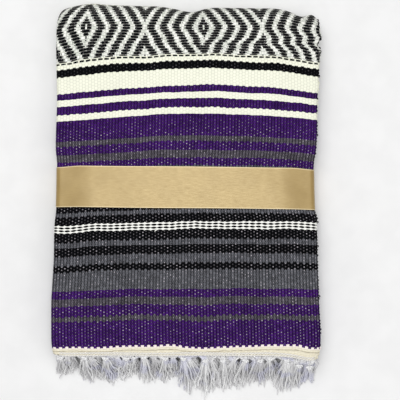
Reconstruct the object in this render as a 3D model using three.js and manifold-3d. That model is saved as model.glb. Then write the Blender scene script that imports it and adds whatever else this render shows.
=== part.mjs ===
// A falsa serape, folded four times across its width and four times along its length, held by a paper band.
// Millimetres. X runs across the folded web, Y from the fringed ends to the top fold, Z up out of the front.
// The serape lies on its back at z = 0. The origin is under the middle of its whole outline, fringe included.

import * as THREE from "three";
import Module from "manifold-3d";

const wasm = await Module();
wasm.setup();

// ---- Driving dimensions ----

const CLOTH = 2.4; // the woven cloth
const GAP = 0.3; // between pieces that touch
const BUNDLE = 11; // four layers of cloth, pressed together
const BUNDLES = 4;
const STACK = BUNDLES * BUNDLE;

const TOP_FOLD_RADIUS = 17; // where the front turns over the top fold
const BACK_FOLD_RADIUS = 14; // where the top fold turns into the back
const END_FOLD_RADIUS = 11; // the lower fold, which holds two bundles
const END_FOLD_Y = -173; // its centre line
const TUCK = 7; // how far the cloth runs in above the lower fold
const ROLL_RADIUS = BUNDLE / 2; // the left fold of one bundle
const HEM_DROOP = 2.5; // how much lower the front lies at its hem
const HEM_SOFT = 45; // the length over which it droops

const BAND_WIDTH = 51; // a two-inch paper strip
const BAND_Y = 15.7;
const BAND_SLOPE = -0.0101; // it sits slightly askew: rise in Y for each mm of X
const PAPER = 0.5;
const BAND_GAP = 0.5; // between the band and the cloth it holds
const PINCH = 2.4; // how far the band presses the front in
const PINCH_SOFT = 18; // the cloth swells back over this length
const BACK_PINCH_SOFT = 6;

const FRINGE_UPPER_DEPTH = 9; // at the hem: the tassels of four layers
const FRINGE_LOWER_DEPTH = 8;
const TIP_DEPTH = 3;
const LOWER_SHARE = 0.86; // the tassels under the first ones reach less far

// The side edges of the folded web, from the hem to the top fold.
const EDGES = [
  { y: -195, left: -156, right: 156 },
  { y: -186, left: -160, right: 160 },
  { y: -173, left: -162, right: 162 },
  { y: -119, left: -161.5, right: 160.5 },
  { y: -71, left: -159.6, right: 159 },
  { y: -38, left: -159, right: 157.8 },
  { y: -14, left: -154.8, right: 153.2 },
  { y: 46, left: -154.8, right: 153.2 },
  { y: 62, left: -156.2, right: 157 },
  { y: 120, left: -156.2, right: 158.4 },
  { y: 181, left: -157.4, right: 161 },
  { y: 207, left: -157, right: 161 },
  { y: 222, left: -155, right: 157 },
  { y: 240, left: -151, right: 153 },
];

// The crest of the top fold, from left to right.
const TOP_FOLD = [
  { x: -160, y: 227 },
  { x: -148, y: 232.5 },
  { x: -130, y: 236.5 },
  { x: -68, y: 234 },
  { x: -34, y: 232 },
  { x: -5, y: 226 },
  { x: 10, y: 226 },
  { x: 26, y: 230 },
  { x: 98, y: 230 },
  { x: 127, y: 226 },
  { x: 140, y: 221.5 },
  { x: 162, y: 220 },
];

// The woven end of the front, from left to right.
const HEM = [
  { x: -162, y: -184 },
  { x: -150, y: -187 },
  { x: 100, y: -187 },
  { x: 140, y: -190 },
  { x: 162, y: -188 },
];

// The section across the web: the turns of its left roll, in degrees, then places across its face as
// shares of its width, then the selvedge on the right, by how far it is inset and how deep it droops.
const ROLL_TURNS = [90, 67.5, 45, 22.5];
const FACE_SHARES = [0.02, 0.08, 0.17, 0.29, 0.4, 0.47, 0.52, 0.58, 0.7, 0.82, 0.91];
const SELVEDGE = [
  { inset: 10, depth: 0.2 },
  { inset: 4, depth: 1 },
  { inset: 1.5, depth: 2.4 },
  { inset: 0, depth: 4.4 },
];

// How far the tassels reach past the hem, seen from above.
const UPPER_REACH = [
  { x: -160, reach: 22 },
  { x: -147, reach: 27 },
  { x: -121, reach: 34 },
  { x: -104, reach: 28 },
  { x: -94, reach: 36 },
  { x: -74, reach: 26 },
  { x: -49, reach: 37 },
  { x: -26, reach: 24 },
  { x: 2, reach: 46 },
  { x: 22, reach: 50 },
  { x: 53, reach: 42 },
  { x: 76, reach: 38 },
  { x: 101, reach: 28 },
  { x: 119, reach: 44 },
  { x: 137, reach: 34 },
  { x: 154, reach: 22 },
];
const LOWER_REACH = UPPER_REACH.map(({ x, reach }) => ({ x, reach: reach * LOWER_SHARE }));

// ---- Measures taken from the tables ----

function fromTable(rows, by, value, at) {
  const next = rows.findIndex((row) => row[by] >= at);
  if (next === 0) return rows[0][value];
  if (next < 0) return rows.at(-1)[value];
  const low = rows[next - 1];
  const high = rows[next];
  return THREE.MathUtils.mapLinear(at, low[by], high[by], low[value], high[value]);
}

const leftEdge = (y) => fromTable(EDGES, "y", "left", y);
const rightEdge = (y) => fromTable(EDGES, "y", "right", y);
const topFoldY = (x) => fromTable(TOP_FOLD, "x", "y", x);
const hemY = (x) => fromTable(HEM, "x", "y", x);
const bandY = (x) => BAND_Y + BAND_SLOPE * x;

// 1 under the band, easing to 0 over the length soft beyond its edge.
function underBand(x, y, soft) {
  const beyond = Math.abs(y - bandY(x)) - BAND_WIDTH / 2 - 1;
  return 1 - THREE.MathUtils.smoothstep(beyond, 0, soft);
}

function frontHeight(x, y) {
  const hemward = 1 - THREE.MathUtils.smoothstep(y - hemY(x), 0, HEM_SOFT);
  return STACK - PINCH * underBand(x, y, PINCH_SOFT) - HEM_DROOP * hemward;
}

const backHeight = (x, y) => (PAPER + BAND_GAP) * underBand(x, y, BACK_PINCH_SOFT);

// ---- The path of the cloth that shows, at one place across ----

const radians = THREE.MathUtils.degToRad;
const QUARTER = [0, 22.5, 45, 67.5, 90];
const HALF_TURN = [0, 30, 60, 90, 120, 150, 180];

// Places beside the band where the cloth is pinched and swells again, as distances from the band's middle.
const BESIDE_BAND = [-17, -8, -1].map((out) => out - BAND_WIDTH / 2);

function frontStations(x) {
  const beside = [...BESIDE_BAND, ...BESIDE_BAND.map((out) => -out).reverse()];
  const ys = [
    hemY(x),
    hemY(x) + 12,
    -150,
    -105,
    -60,
    ...beside.map((out) => bandY(x) + out),
    85,
    135,
    180,
  ];
  return ys.map((y) => ({ y, z: frontHeight(x, y), inY: 0, inZ: -1 }));
}

function topFoldStations(x) {
  const crest = topFoldY(x);
  const over = QUARTER.map((turn) => {
    const sin = Math.sin(radians(turn));
    const cos = Math.cos(radians(turn));
    return {
      y: crest - TOP_FOLD_RADIUS * (1 - sin),
      z: STACK - TOP_FOLD_RADIUS * (1 - cos),
      inY: -sin,
      inZ: -cos,
    };
  });
  const under = QUARTER.map((turn) => {
    const sin = Math.sin(radians(turn));
    const cos = Math.cos(radians(turn));
    return {
      y: crest - BACK_FOLD_RADIUS * (1 - cos),
      z: BACK_FOLD_RADIUS * (1 - sin),
      inY: -cos,
      inZ: sin,
    };
  });
  return [...over, ...under];
}

function backStations(x) {
  const below = [-7.5, -1].map((out) => bandY(x) + out - BAND_WIDTH / 2);
  const above = [1, 7.5].map((out) => bandY(x) + out + BAND_WIDTH / 2);
  const ys = [181, 120, 62, ...above.reverse(), ...below.reverse(), -38, -71, -119];
  return ys.map((y) => ({ y, z: backHeight(x, y), inY: 0, inZ: 1 }));
}

function endFoldStations() {
  return HALF_TURN.map((turn) => {
    const sin = Math.sin(radians(turn));
    const cos = Math.cos(radians(turn));
    return {
      y: END_FOLD_Y - END_FOLD_RADIUS * sin,
      z: END_FOLD_RADIUS * (1 - cos),
      inY: sin,
      inZ: cos,
    };
  });
}

// From the front hem, over the top fold, along the back and round the lower fold to the tucked end.
function clothPath(x) {
  const tucked = { y: END_FOLD_Y + TUCK, z: 2 * END_FOLD_RADIUS, inY: 0, inZ: -1 };
  return [
    ...frontStations(x),
    ...topFoldStations(x),
    ...backStations(x),
    ...endFoldStations(),
    tucked,
  ];
}

// ---- Meshes ----

function meshSolid(points, triangles) {
  const vertProperties = new Float32Array(points.flatMap((p) => [p.x, p.y, p.z]));
  const triVerts = new Uint32Array(triangles.flat());
  return new wasm.Manifold(new wasm.Mesh({ numProp: 3, vertProperties, triVerts }));
}

// Joins rings of points, each closed on itself, into one solid with flat ends.
function loft(givenRings) {
  const clockwise = THREE.ShapeUtils.isClockWise(ringOutline(givenRings[0]));
  const rings = clockwise ? givenRings.map((ring) => ring.toReversed()) : givenRings;
  const count = rings[0].length;
  const triangles = [];
  for (let ring = 0; ring + 1 < rings.length; ring += 1) {
    for (let i = 0; i < count; i += 1) {
      const a = ring * count + i;
      const b = ring * count + ((i + 1) % count);
      triangles.push([a, b, b + count], [a, b + count, a + count]);
    }
  }
  const outline = ringOutline(rings[0]);
  const cap = THREE.ShapeUtils.triangulateShape(outline, []);
  const lastStart = (rings.length - 1) * count;
  for (const [a, b, c] of cap) {
    triangles.push([a, c, b]);
    triangles.push([lastStart + a, lastStart + b, lastStart + c]);
  }
  return outward(rings.flat(), triangles);
}

// A ring seen flat, along whichever of X or Y it doesn't spread in.
function ringOutline(ring) {
  const spread = (axis) => {
    const values = ring.map((p) => p[axis]);
    return Math.max(...values) - Math.min(...values);
  };
  const axis = spread("x") > spread("y") ? "x" : "y";
  return ring.map((p) => new THREE.Vector2(p[axis], p.z));
}

// A closed solid whose faces point out, whichever way its points were listed.
function outward(points, triangles) {
  const solid = meshSolid(points, triangles);
  if (solid.volume() > 0) return solid;
  return meshSolid(points, triangles.map(([a, b, c]) => [a, c, b]));
}

// What is left of a cut solid without the crumbs beside it.
function largest(solid) {
  return solid.decompose().sort((a, b) => b.volume() - a.volume())[0];
}

// The normals of a grid of points, pointing the way that side says.
function gridNormals(grid, side) {
  return grid.map((row, i) =>
    row.map((point, j) => {
      const before = grid[Math.max(i - 1, 0)][j];
      const after = grid[Math.min(i + 1, grid.length - 1)][j];
      const left = row[Math.max(j - 1, 0)];
      const right = row[Math.min(j + 1, row.length - 1)];
      const along = after.clone().sub(before);
      const across = right.clone().sub(left);
      return across.cross(along).normalize().multiplyScalar(side);
    }),
  );
}

// A wall between two faces of the same grid of points.
function wall(outer, inner) {
  const rows = outer.length;
  const columns = outer[0].length;
  const index = (layer, i, j) => layer * rows * columns + i * columns + j;
  const triangles = [];
  const quad = (a, b, c, d) => triangles.push([a, b, c], [a, c, d]);
  for (let i = 0; i + 1 < rows; i += 1) {
    for (let j = 0; j + 1 < columns; j += 1) {
      quad(index(0, i, j), index(0, i, j + 1), index(0, i + 1, j + 1), index(0, i + 1, j));
      quad(index(1, i, j), index(1, i + 1, j), index(1, i + 1, j + 1), index(1, i, j + 1));
    }
  }
  for (let i = 0; i + 1 < rows; i += 1) {
    const last = columns - 1;
    quad(index(0, i, 0), index(0, i + 1, 0), index(1, i + 1, 0), index(1, i, 0));
    quad(index(0, i + 1, last), index(0, i, last), index(1, i, last), index(1, i + 1, last));
  }
  for (let j = 0; j + 1 < columns; j += 1) {
    const last = rows - 1;
    quad(index(0, 0, j + 1), index(0, 0, j), index(1, 0, j), index(1, 0, j + 1));
    quad(index(0, last, j), index(0, last, j + 1), index(1, last, j + 1), index(1, last, j));
  }
  return outward([...outer.flat(), ...inner.flat()], triangles);
}

const shifted = (grid, normals, distance) =>
  grid.map((row, i) => row.map((p, j) => p.clone().addScaledVector(normals[i][j], distance)));

// Lengthens a list of points at both ends.
function lengthened(points, distance) {
  const beyond = (end, before) => {
    const way = end.clone().sub(before).normalize();
    return end.clone().addScaledVector(way, distance);
  };
  return [
    beyond(points[0], points[1]),
    ...points.slice(1, -1),
    beyond(points.at(-1), points.at(-2)),
  ];
}

function grown(grid, distance) {
  const wider = grid.map((row) => lengthened(row, distance));
  const columns = wider[0].map((_, j) => lengthened(wider.map((row) => row[j]), distance));
  return wider.map((_, i) => columns.map((column) => column[i]));
}

function toMesh(name, solid, color, roughness) {
  const { numProp, vertProperties, triVerts } = solid.getMesh();
  const geometry = new THREE.BufferGeometry();
  geometry.setAttribute("position", new THREE.BufferAttribute(vertProperties, numProp));
  geometry.setIndex(new THREE.BufferAttribute(triVerts, 1));
  geometry.computeVertexNormals();
  const material = new THREE.MeshStandardMaterial({ color, roughness, metalness: 0 });
  const mesh = new THREE.Mesh(geometry, material);
  mesh.name = name;
  return mesh;
}

// ---- The stretch of cloth that shows ----

// Each place across: its share of the width, its shift from there, and how deep it lies.
function acrossStations() {
  const roll = ROLL_TURNS.map((turn) => ({
    share: 0,
    shift: ROLL_RADIUS * (1 - Math.sin(radians(turn))),
    depth: ROLL_RADIUS * (1 - Math.cos(radians(turn))),
  }));
  const face = FACE_SHARES.map((share) => ({ share, shift: 0, depth: 0 }));
  const selvedge = SELVEDGE.map(({ inset, depth }) => ({ share: 1, shift: -inset, depth }));
  return [...roll, ...face, ...selvedge];
}

function placeAcross({ share, shift }, y) {
  return THREE.MathUtils.lerp(leftEdge(y), rightEdge(y), share) + shift;
}

function clothFace() {
  const columns = acrossStations().map((station) => {
    const nominalX = placeAcross(station, 0);
    return clothPath(nominalX).map(({ y, z, inY, inZ }) => {
      const x = placeAcross(station, y);
      return new THREE.Vector3(x, y + station.depth * inY, z + station.depth * inZ);
    });
  });
  return columns[0].map((_, i) => columns.map((column) => column[i]));
}

const outerFace = clothFace();
const inwardNormals = gridNormals(outerFace, -1);
const outerStretch = wall(outerFace, shifted(outerFace, inwardNormals, CLOTH));

// The same wall with the clearance that its neighbours keep.
function stretchWithClearance() {
  const larger = grown(outerFace, GAP);
  const normals = gridNormals(larger, -1);
  return wall(shifted(larger, normals, -GAP), shifted(larger, normals, CLOTH + GAP));
}

const clearStretch = stretchWithClearance();

// ---- The hidden layers ----

// The end side of the layers in profile, from the lower fold upwards: how far back from the hem each place is.
const END_PROFILE = [
  { z: 21.5, back: 22 },
  { z: 23, back: 8 },
  { z: 24.5, back: 4 },
  { z: 29, back: 3.5 },
  { z: 30.5, back: 8 },
  { z: 32, back: 2 },
  { z: 38, back: 0.8 },
];

// The side of one bundle in profile, as shares of its height: how far each place is set in.
const LEFT_PROFILE = [
  { share: 0, inset: 4.4 },
  { share: 0.1, inset: 2 },
  { share: 0.3, inset: 0.5 },
  { share: 0.7, inset: 0.5 },
  { share: 0.9, inset: 2 },
];
const RIGHT_PROFILE = [
  { share: 0.02, inset: 1.5 },
  { share: 0.24, inset: 0.8 },
  { share: 0.25, inset: 3 },
  { share: 0.49, inset: 1.6 },
  { share: 0.5, inset: 4.2 },
  { share: 0.62, inset: 1 },
  { share: 0.88, inset: 1 },
  { share: 0.98, inset: 4.2 },
];
const OVER = 6; // how far the cutting solids run past the layers

// Everything inside the stretch that shows, with square sides.
function insideStretch() {
  const stations = acrossStations().filter(({ share }) => share > 0);
  const columns = [
    { share: 0, shift: -OVER, depth: 0 },
    ...stations,
    { share: 1, shift: OVER, depth: SELVEDGE.at(-1).depth },
  ];
  const rings = columns.map((station) => {
    const x = placeAcross(station, 0);
    const path = clothPath(x).slice(0, -1);
    const inset = station.depth + CLOTH + GAP;
    const inner = path.map(({ y, z, inY, inZ }) => [y + inset * inY, z + inset * inZ]);
    const end = END_PROFILE.map(({ z, back }) => [hemY(x) + back, z]);
    return [...inner.slice(1), ...end].map(([y, z]) => new THREE.Vector3(x, y, z));
  });
  return loft(rings);
}

function layeredSection(y) {
  const bundles = [...Array(BUNDLES).keys()];
  const side = (profile, place, flip) =>
    bundles.flatMap((bundle) => {
      const turned = flip && bundle % 2 === 1;
      const rows = turned
        ? profile.map(({ share, inset }) => ({ share: 1 - share, inset })).reverse()
        : profile;
      return rows.map(({ share, inset }) => {
        const z = BUNDLE * (bundle + share);
        return new THREE.Vector3(place(inset), y, z);
      });
    });
  const left = side(LEFT_PROFILE, (inset) => leftEdge(y) + inset, false);
  const right = side(RIGHT_PROFILE, (inset) => rightEdge(y) - inset, true);
  const top = STACK + OVER;
  return [
    new THREE.Vector3(leftEdge(y) + OVER, y, -OVER),
    new THREE.Vector3(rightEdge(y) - OVER, y, -OVER),
    ...right,
    new THREE.Vector3(rightEdge(y) - OVER, y, top),
    new THREE.Vector3(leftEdge(y) + OVER, y, top),
    ...left.reverse(),
  ];
}

function foldedLayers() {
  const layered = loft(EDGES.map(({ y }) => layeredSection(y)));
  return largest(insideStretch().intersect(layered).subtract(clearStretch));
}

// ---- The paper band ----

const BAND_CORNER = ROLL_RADIUS + BAND_GAP;
const BAND_TURNS = [0, 30, 60, 90];

function bandRing(across, out) {
  const radius = BAND_CORNER + out;
  const left = leftEdge(BAND_Y) - BAND_GAP + BAND_CORNER;
  const right = rightEdge(BAND_Y) + BAND_GAP - BAND_CORNER;
  const low = PAPER + BAND_CORNER;
  const high = STACK - PINCH + BAND_GAP - BAND_CORNER;
  const corners = [
    { x: right, z: low, start: -90 },
    { x: right, z: high, start: 0 },
    { x: left, z: high, start: 90 },
    { x: left, z: low, start: 180 },
  ];
  return corners.flatMap(({ x, z, start }) =>
    BAND_TURNS.map((turn) => {
      const angle = radians(start + turn);
      const px = x + radius * Math.cos(angle);
      return new THREE.Vector3(px, bandY(px) + across, z + radius * Math.sin(angle));
    }),
  );
}

function bellyBand() {
  const half = BAND_WIDTH / 2;
  const outer = loft([bandRing(-half, PAPER), bandRing(half, PAPER)]);
  const inner = loft([bandRing(-half - 1, 0), bandRing(half + 1, 0)]);
  return outer.subtract(inner);
}

// ---- The fringes ----

const FRINGE_SHARES = [0, 0.25, 0.5, 0.75, 1];

// A slab that leaves the hem level and settles on the surface: the reach of one row of tassels.
function fringe({ hemTop, depth, tipTop, reaches, setBack }) {
  const rings = reaches.map(({ x, reach }) => {
    const start = hemY(x) - GAP + setBack;
    const place = (share, below) => {
      const eased = (1 - Math.cos(Math.PI * share)) / 2;
      const top = THREE.MathUtils.lerp(hemTop, tipTop, eased);
      const thick = THREE.MathUtils.lerp(depth, TIP_DEPTH, share);
      return new THREE.Vector3(x, start - reach * share, top - below * thick);
    };
    const upper = FRINGE_SHARES.map((share) => place(share, 0));
    const lower = FRINGE_SHARES.map((share) => place(share, 1)).reverse();
    return [...upper, ...lower];
  });
  return loft(rings);
}

const hemTop = STACK - HEM_DROOP - 0.5;
const fringeUpper = fringe({
  hemTop,
  depth: FRINGE_UPPER_DEPTH,
  tipTop: 2 * TIP_DEPTH + 2 * GAP,
  reaches: UPPER_REACH,
  setBack: 0,
});
const fringeLower = fringe({
  hemTop: hemTop - FRINGE_UPPER_DEPTH - 2 * GAP,
  depth: FRINGE_LOWER_DEPTH,
  tipTop: TIP_DEPTH,
  reaches: LOWER_REACH,
  setBack: 1.5,
});

// ---- The part ----

const YARN_GREY = 0xcfcfd2;
const WOVEN_PURPLE = 0x3b1a68;
const LAYER_GREY = 0x4a4b50;
const KRAFT = 0xcdb07a;

const layers = foldedLayers();
const pieces = [
  toMesh("outer_stretch", outerStretch, WOVEN_PURPLE, 0.95),
  toMesh("folded_layers", layers, LAYER_GREY, 0.95),
  toMesh("belly_band", bellyBand(), KRAFT, 0.6),
  toMesh("fringe_upper", largest(fringeUpper.subtract(clearStretch)), YARN_GREY, 0.9),
  toMesh("fringe_lower", fringeLower, YARN_GREY, 0.9),
];

const serape = new THREE.Group();
serape.add(...pieces);
const box = new THREE.Box3().setFromObject(serape);
const middle = box.getCenter(new THREE.Vector3());
serape.position.set(-middle.x, -middle.y, -box.min.z);

export default serape;
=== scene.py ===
"""A folded falsa serape in its paper band: woven cloth, layered edges, knotted fringe and kraft strip."""

import math
from functools import partialmethod

import bpy
import numpy as np
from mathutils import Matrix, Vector


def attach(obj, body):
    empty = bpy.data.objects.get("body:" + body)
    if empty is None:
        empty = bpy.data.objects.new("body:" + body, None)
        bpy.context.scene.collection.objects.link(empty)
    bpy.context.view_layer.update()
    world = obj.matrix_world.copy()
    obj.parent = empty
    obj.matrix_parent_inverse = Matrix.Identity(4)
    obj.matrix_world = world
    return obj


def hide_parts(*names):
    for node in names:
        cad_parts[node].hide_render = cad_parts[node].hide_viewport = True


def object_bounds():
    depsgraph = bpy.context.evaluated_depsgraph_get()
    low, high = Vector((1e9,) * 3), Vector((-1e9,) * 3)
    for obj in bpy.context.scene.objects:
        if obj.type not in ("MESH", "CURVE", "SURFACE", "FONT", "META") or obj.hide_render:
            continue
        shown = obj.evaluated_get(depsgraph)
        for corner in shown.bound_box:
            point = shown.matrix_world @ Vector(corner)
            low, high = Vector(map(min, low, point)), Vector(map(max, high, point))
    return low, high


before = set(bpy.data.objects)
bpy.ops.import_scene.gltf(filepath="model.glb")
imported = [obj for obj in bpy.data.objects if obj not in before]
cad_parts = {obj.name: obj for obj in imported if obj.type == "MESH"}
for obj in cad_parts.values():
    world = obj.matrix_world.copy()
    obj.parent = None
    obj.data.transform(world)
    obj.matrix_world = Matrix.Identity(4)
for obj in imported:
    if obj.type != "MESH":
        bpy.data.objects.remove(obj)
cad_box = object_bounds()

MM = 0.001  # every measure below is in millimetres until a mesh is made

# ---- The folded form ----
# The CAD's outline is the same with fewer points: the edges here stand up to 3 mm outside it.

CLOTH = 2.4
LAYER = 2.75  # from one layer to the next, with the air between them
BUNDLE = 4 * LAYER
STACK = 16 * LAYER
FOLDED_WIDTH = 318.0
TOP_RADIUS, BACK_RADIUS, END_RADIUS = 17.0, 14.0, 11.0
END_FOLD_Y = -173.0
TUCK = 7.0  # how far the cloth turns in past the lower fold
ROLL = BUNDLE / 2  # the folds' radius on the left
HEM_DROOP, HEM_SOFT = 2.5, 45.0
BAND_WIDTH, BAND_SLOPE, PAPER, PAPER_GAP = 49.9, -0.0101, 0.5, 0.4
PINCH, PINCH_SOFT, BACK_SOFT = 2.4, 18.0, 6.0
BAND_CROWN = 2.6  # how much lower the front lies under the ends of the band
SHOULDER = (112, 158)  # where it comes down, from the middle

# y, left edge, right edge
EDGES = np.array([
    (-195, -157.5, 156), (-186, -161.5, 160), (-173, -163.6, 162), (-119, -163.2, 159.4),
    (-71, -160.2, 157.8), (-38, -159.8, 157.2), (-24, -158.8, 156.6), (-14, -158, 155),
    (16, -157.2, 154.2), (46, -156.9, 153.6), (62, -157.8, 156.2), (80, -157.6, 157.2),
    (120, -156.2, 157.6), (181, -157.4, 161), (207, -157, 161),
    (222, -155, 157), (240, -151, 153),
])
# y, how far the right edge stands out there, half height: a notch near its top, and lumps
LUMPS = [(187.5, -3.4, 4.0), (195.5, 1.8, 4.0), (177, 1.4, 5.0), (-22, 1.2, 5.0), (137, 1.0, 6.0)]
# x, crest of the top fold
TOP_FOLD = np.array([
    (-160, 228.5), (-148, 234), (-132, 237.5), (-118, 239), (-100, 237), (-69, 236), (-37, 235.5),
    (-15, 232), (-3, 228.8), (8, 228), (18, 232), (28, 233.8), (93, 233), (108, 232.8), (125, 229),
    (138, 220.5), (147, 226), (155, 227.5), (162, 224),
])
# x, woven end of the front
HEM = np.array([
    (-162, -184), (-150, -187), (100, -187), (125, -189), (140, -192), (150, -194), (157, -192),
    (162, -188),
])

# The CAD model is centred on its whole box, fringe included, so its crest gives the shift in Y.
CREST_BEFORE = 236.4
SHIFT_Y = cad_box[1].y / MM - CREST_BEFORE
BAND_Y = 15.15


def smoothstep(low, high, value):
    t = np.clip((value - low) / (high - low), 0, 1)
    return t * t * (3 - 2 * t)


def eased(table, column, at):
    """A column of a table at a place, rounded off between its rows."""
    at = np.asarray(at, float)
    return sum(np.interp(at + d, table[:, 0], table[:, column]) for d in (-6, -3, 0, 3, 6)) / 5


def left_edge(y):
    return eased(EDGES, 1, y)


def right_edge(y):
    y = np.asarray(y, float)
    lumps = sum(out * np.exp(-((y - at) / half) ** 2) for at, out, half in LUMPS)
    return eased(EDGES, 2, y) + lumps


def crest(x):
    return eased(TOP_FOLD, 1, x)


def hem(x):
    return eased(HEM, 1, x)


def band_y(x):
    return BAND_Y + BAND_SLOPE * x


def under_band(x, y, soft):
    beyond = np.abs(y - band_y(x)) - BAND_WIDTH / 2 - 1
    return 1 - smoothstep(0, soft, beyond)


# Soft creases and swells, placed one by one: middle x, y; direction; half length, half width; rise
CREASES = [
    (2, 205, 95, 34, 15, -2.4), (-60, 196, 8, 60, 16, -0.7), (70, 203, 174, 44, 14, -0.6),
    (-118, 70, 62, 30, 11, 0.9), (-92, 60, 70, 22, 8, -0.9), (118, 66, 112, 28, 10, 0.8),
    (96, 58, 104, 20, 8, -0.8), (-20, 96, 176, 70, 18, 0.7), (60, 128, 7, 62, 15, -0.8),
    (-96, 142, 172, 52, 16, -0.7), (-108, -36, 118, 26, 10, 0.9), (-80, -30, 106, 20, 7, -0.8),
    (106, -34, 66, 27, 10, 0.9), (84, -28, 74, 20, 8, -0.8), (10, -62, 3, 84, 16, 0.7),
    (-70, -104, 174, 70, 15, -0.9), (84, -118, 8, 56, 16, -0.8), (-10, -146, 178, 90, 13, 0.6),
    (-122, -168, 20, 30, 9, -0.8), (18, -170, 4, 36, 8, -0.9), (112, -164, 168, 34, 9, -0.7),
    (146, 208, 60, 16, 8, 1.3), (134, 214, 50, 13, 6, -1.2), (-140, 214, 130, 18, 8, 0.8),
]
BACK_CREASES = [
    (-70, 130, 12, 70, 16, 0.6), (60, 96, 170, 64, 14, 0.7), (-20, -70, 5, 90, 15, 0.6),
    (92, -112, 166, 50, 13, 0.6), (-104, -132, 20, 44, 12, 0.7), (30, 178, 176, 70, 14, 0.6),
]


def creased(x, y, creases):
    rise = np.zeros(np.broadcast(x, y).shape)
    for cx, cy, turn, half_length, half_width, height in creases:
        c, s = math.cos(math.radians(turn)), math.sin(math.radians(turn))
        along = ((x - cx) * c + (y - cy) * s) / half_length
        across = ((y - cy) * c - (x - cx) * s) / half_width
        rise = rise + height * np.exp(-along**2 - across**2)
    return rise


def swell(x, y):
    """The unevenness of sixteen soft layers."""
    return (
        0.45 * np.sin(x / 23 + 1.3) * np.sin(y / 31 + 0.4)
        + 0.3 * np.sin(x / 11.5 + y / 47 + 2.1)
        + 0.25 * np.sin(y / 14.5 - x / 60 + 0.7)
    )


def front_height(x, y):
    held = under_band(x, y, PINCH_SOFT)
    hemward = 1 - smoothstep(0, HEM_SOFT, y - hem(x))
    free = (1 - held) * smoothstep(0, 16, y - hem(x) + 4)
    rise = creased(x, y, CREASES) + swell(x, y)
    shoulder = BAND_CROWN * smoothstep(*SHOULDER, np.abs(x))
    return STACK - 0.4 - (PINCH + shoulder) * held - HEM_DROOP * hemward + rise * free


def back_height(x, y):
    held = under_band(x, y, BACK_SOFT)
    hollow = np.clip(-creased(x, y, BACK_CREASES), 0, 2) + 0.25 + 0.25 * np.sin(x / 17) * np.sin(y / 23)
    rim = smoothstep(0, 40, 160 - np.abs(x))
    return (PAPER + PAPER_GAP) * held + hollow * (1 - held) * rim * 0.6


# ---- Where the pattern lies on the cloth ----

END_PITCH = 3.72  # from one warp end to the next
HEM_V = 185.4  # the pattern is measured along the warp from 1.6 mm inside the woven end
FIRST_END = 40  # the warp ends are counted from here at the left of the front
MIRROR_V = 393.6  # the middle of the diamond band
WEB = 1660.0  # the whole web, end to end; its second half mirrors its first
PICK = 1.9  # from one weft to the next
# How far the wefts droop, at places across (x) for a few distances along the warp.
BOW_AT = np.array([-150, -128, -106, -85, -63, -41, -20, 2, 23, 45, 67, 88, 110, 131, 153])
BOW = {
    0: (1, 0.6, 0.4, 0, -0.4, -0.8, -1, 0.5, 1, 0.4, -0.3, -0.6, -1, -0.6, 2.6),
    11: (1.7, 0.8, 0.5, -0.4, -1, -1.6, -2, 0.5, 1.4, 0.4, -0.8, -1.3, -2, -3, 1.5),
    40: (2.4, 1.2, 0.4, 0, -0.6, -0.8, -0.5, 0, 0.3, 0, -0.6, -0.8, -1, -1, 0),
    110: (3.6, 2.4, 1.2, 0.4, 0, -0.4, -0.6, -0.8, -1, -1.1, -1.2, -1.2, -1, -0.6, 0.3),
    159: (4, 3.2, 1.8, 0.8, 0, -0.6, -1, -1.2, -1.4, -1.6, -1.7, -1.7, -1.3, -0.8, 0),
    230: (6.6, 4.8, 3.6, 2.4, 1.2, 0.2, -0.5, -1, -0.8, -0.4, 0, 0.6, 1, 2, 4.4),
    290: (10.7, 7.6, 6.1, 5, 3.4, 1.4, 0.2, -0.8, -0.2, 0.8, 1.3, 2.4, 2.8, 4.6, 7.8),
    324: (11.8, 8.3, 7, 5.5, 4, 2.2, 0.8, -0.2, -0.6, 0.5, 1.1, 2.1, 3, 6, 10.4),
    350: (11.7, 8, 5.6, 4.4, 3.3, 2, 0.8, -0.1, -0.6, 0.6, 1, 2.2, 3.4, 6.3, 10.8),
    394: (5, 0.6, 0, 0, 0, 0, 0, 0.4, 1, 1, 0.8, 0.8, 1, 2, 5),
    425: (3, 2, 2, 1.5, 0.8, 0, 0, 0, 0, 0, 0, 0, 0.5, 1, 3),
    900: (2, 0.5, 0, 0, 0, 0, 0, 0, 0, 0, 0, 0, 0, 1, 2),
}


def bow(x, v):
    """How much further along the warp a place is than its height says, because the wefts droop."""
    x, v = np.broadcast_arrays(x, v)
    at = list(BOW)
    across = [sum(np.interp(x + d, BOW_AT, row) for d in (-6, 0, 6)) / 3 for row in BOW.values()]
    droop = across[0]
    for near, far, first, second in zip(at, at[1:], across, across[1:]):
        share = np.clip((v - near) / (far - near), 0, 1)
        droop = np.where(v >= near, first + (second - first) * share, droop)
    return droop + 0.35 * np.sin(x / 19 + v / 37) + 0.3 * np.sin(x / 9.5 - v / 61)


# ---- Meshes ----


def joined(*parts):
    """Points or rows of numbers from arrays that broadcast."""
    return np.stack(np.broadcast_arrays(*parts), -1)


def unit(vectors):
    return vectors / np.maximum(np.linalg.norm(vectors, axis=-1, keepdims=True), 1e-9)


def way(points):
    """How far along its line each point lies."""
    steps = np.linalg.norm(np.diff(points, axis=-2), axis=-1)
    return np.concatenate([np.zeros_like(steps[..., :1]), np.cumsum(steps, axis=-1)], -1)


def in_scene(name, data):
    obj = bpy.data.objects.new(name, data)
    bpy.context.scene.collection.objects.link(obj)
    return obj


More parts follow.
